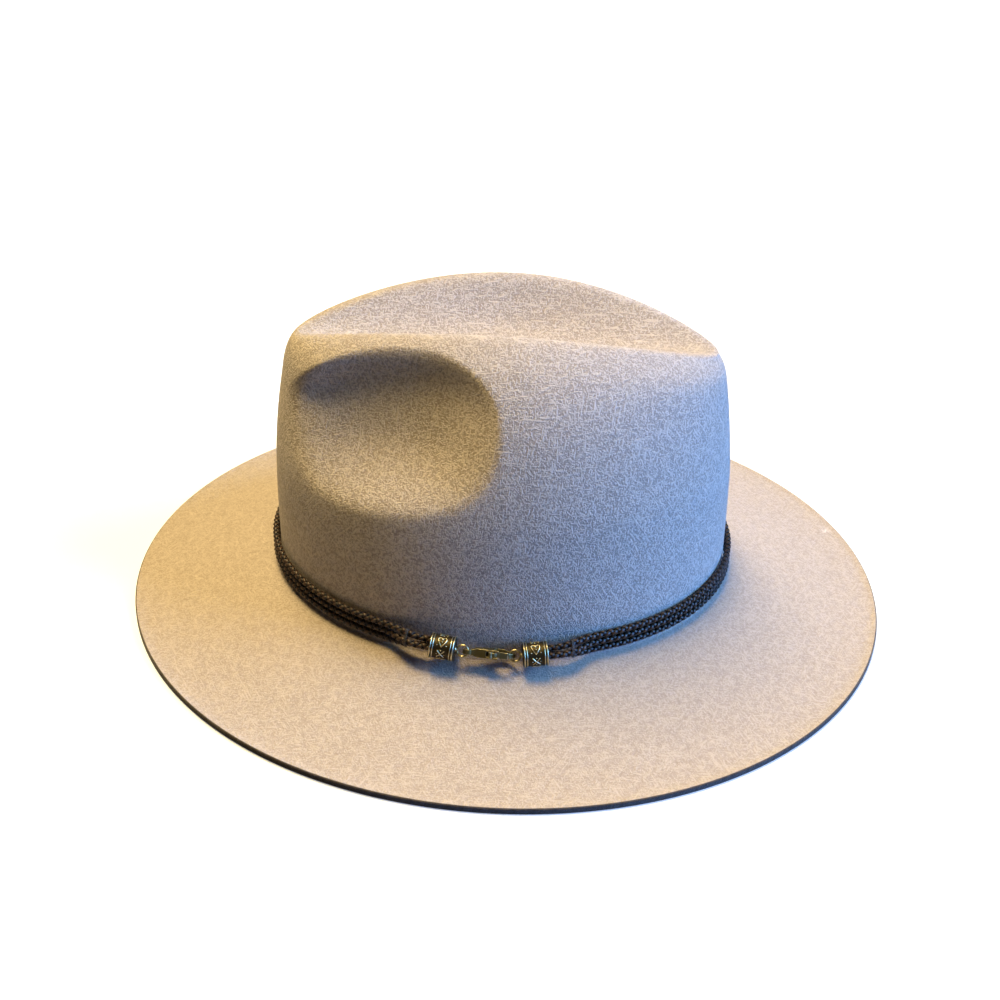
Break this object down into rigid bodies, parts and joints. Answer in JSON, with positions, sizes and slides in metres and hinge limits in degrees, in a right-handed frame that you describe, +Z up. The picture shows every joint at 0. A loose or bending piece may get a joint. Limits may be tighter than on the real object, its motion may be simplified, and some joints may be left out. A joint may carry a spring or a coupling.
{
  "type": "felt fedora hat with a braided leather cord hatband",
  "caption": "Wide-brimmed wool felt fedora with a teardrop crown, pinched front and a braided leather cord band closed by capped ends and a sprung brass clasp.",
  "frame": {"origin": "on the surface that the hat rests on, under the middle of the brim", "axes": "+Z up through the crown, -Y towards the front of the hat, +X towards the wearer's left, where the clasp is"},
  "size_m": [0.308, 0.343, 0.1383],
  "materials": {
    "felt": "soft stone-beige wool felt with a short brushed nap and a clean-cut raw brim edge",
    "leather_cord": "four-strand round braid of very dark brown waxed leather, glossy on the crests",
    "antique_brass": "cast and antiqued: nearly black in the recesses, rubbed bright on the rims and raised ornament"
  },
  "bodies": {
    "hat": {"felt_body": "felt", "cord_upper": "leather_cord", "cord_middle": "leather_cord", "cord_lower": "leather_cord", "cap_front": "antique_brass", "cap_back": "antique_brass", "clasp_body": "antique_brass"},
    "lever": {"clasp_lever": "antique_brass"}
  },
  "joints": [
    {"name": "lever_hinge", "type": "hinge", "parent": "hat", "child": "lever", "pos_m": [0.09254, -0.00467, 0.02644], "axis": [-0.4985, 0.0561, 0.8651], "range_deg": [0, 24], "stiffness_Nm_per_rad": 0.002, "springref_deg": -8.59}
  ]
}
